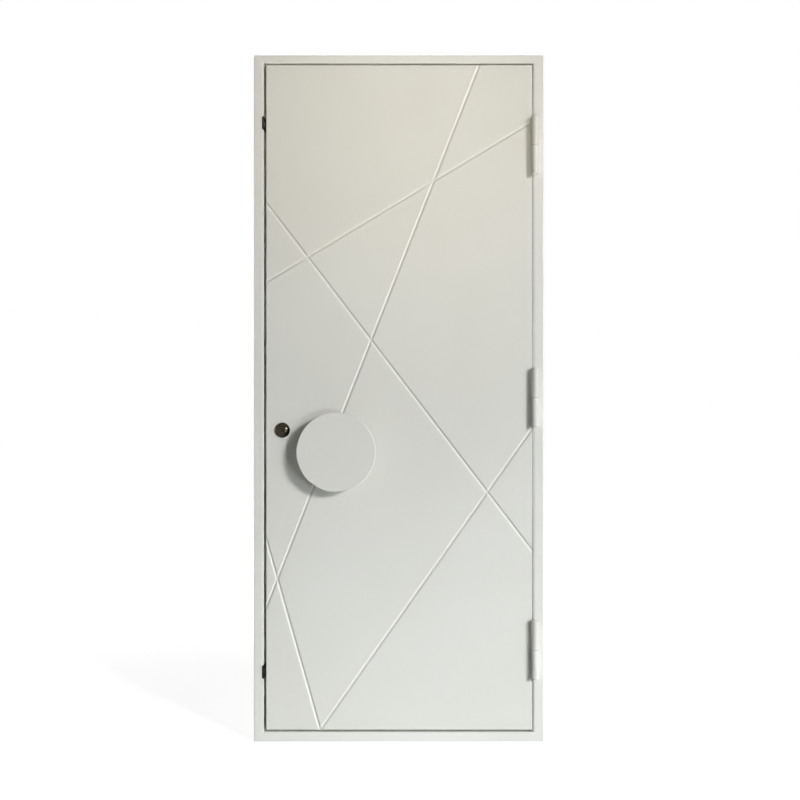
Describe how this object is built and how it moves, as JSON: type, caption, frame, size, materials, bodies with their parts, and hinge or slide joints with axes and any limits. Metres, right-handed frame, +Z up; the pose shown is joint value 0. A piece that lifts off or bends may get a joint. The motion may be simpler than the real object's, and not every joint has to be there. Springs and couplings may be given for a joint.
{
  "type": "iron door",
  "caption": "Side-hung painted iron door: flush steel leaf with crossing diagonal grooves, round disc pull and cylinder lock, swinging on barrel hinges in a welded tube frame.",
  "frame": {"origin": "middle of the sill's underside, halfway through the frame's depth", "axes": "+X towards the hinge side, -Y out of the face with the disc pull, +Z up"},
  "size_m": [0.8856, 0.1138, 2.098],
  "materials": {
    "frame_paint": "satin off-white paint",
    "leaf_paint": "satin off-white paint",
    "black_strike": "satin black",
    "dark_plating": "polished black plating",
    "bright_steel": "machined"
  },
  "bodies": {
    "frame": {"lock_jamb": "frame_paint", "hinge_jamb": "frame_paint", "frame_sill": "frame_paint", "frame_head": "frame_paint", "lock_jamb_stop": "frame_paint", "hinge_jamb_stop": "frame_paint", "sill_stop": "frame_paint", "head_stop": "frame_paint", "upper_strike_plate": "black_strike", "lower_strike_plate": "black_strike", "upper_hinge_frame_half": "frame_paint", "middle_hinge_frame_half": "frame_paint", "lower_hinge_frame_half": "frame_paint", "upper_hinge_pin": "bright_steel", "middle_hinge_pin": "bright_steel", "lower_hinge_pin": "bright_steel", "upper_hinge_washer": "bright_steel", "middle_hinge_washer": "bright_steel", "lower_hinge_washer": "bright_steel"},
    "leaf": {"upper_hinge_leaf_half": "leaf_paint", "middle_hinge_leaf_half": "leaf_paint", "lower_hinge_leaf_half": "leaf_paint", "leaf_front_sheet": "leaf_paint", "leaf_back_sheet": "leaf_paint", "leaf_lock_stile": "leaf_paint", "leaf_hinge_stile": "leaf_paint", "leaf_bottom_rail": "leaf_paint", "leaf_top_rail": "leaf_paint", "pull_disc": "leaf_paint", "pull_neck": "leaf_paint", "lock_guard_outside": "dark_plating", "lock_guard_inside": "dark_plating", "lock_cylinder": "dark_plating", "lock_forend": "bright_steel", "dead_bolt": "bright_steel", "upper_bolt": "bright_steel", "lower_bolt": "bright_steel"},
    "lock_core": {"key_plug": "dark_plating", "thumb_turn": "dark_plating"}
  },
  "joints": [
    {"name": "leaf_swing", "type": "hinge", "parent": "frame", "child": "leaf", "pos_m": [0.41575, -0.0435, 1.052], "axis": [0, 0, 1], "range_deg": [0, 165]},
    {"name": "key_turn", "type": "hinge", "parent": "leaf", "child": "lock_core", "pos_m": [-0.35525, -0.0404, 0.952], "axis": [0, -1, 0], "range_deg": [0, 360]}
  ]
}
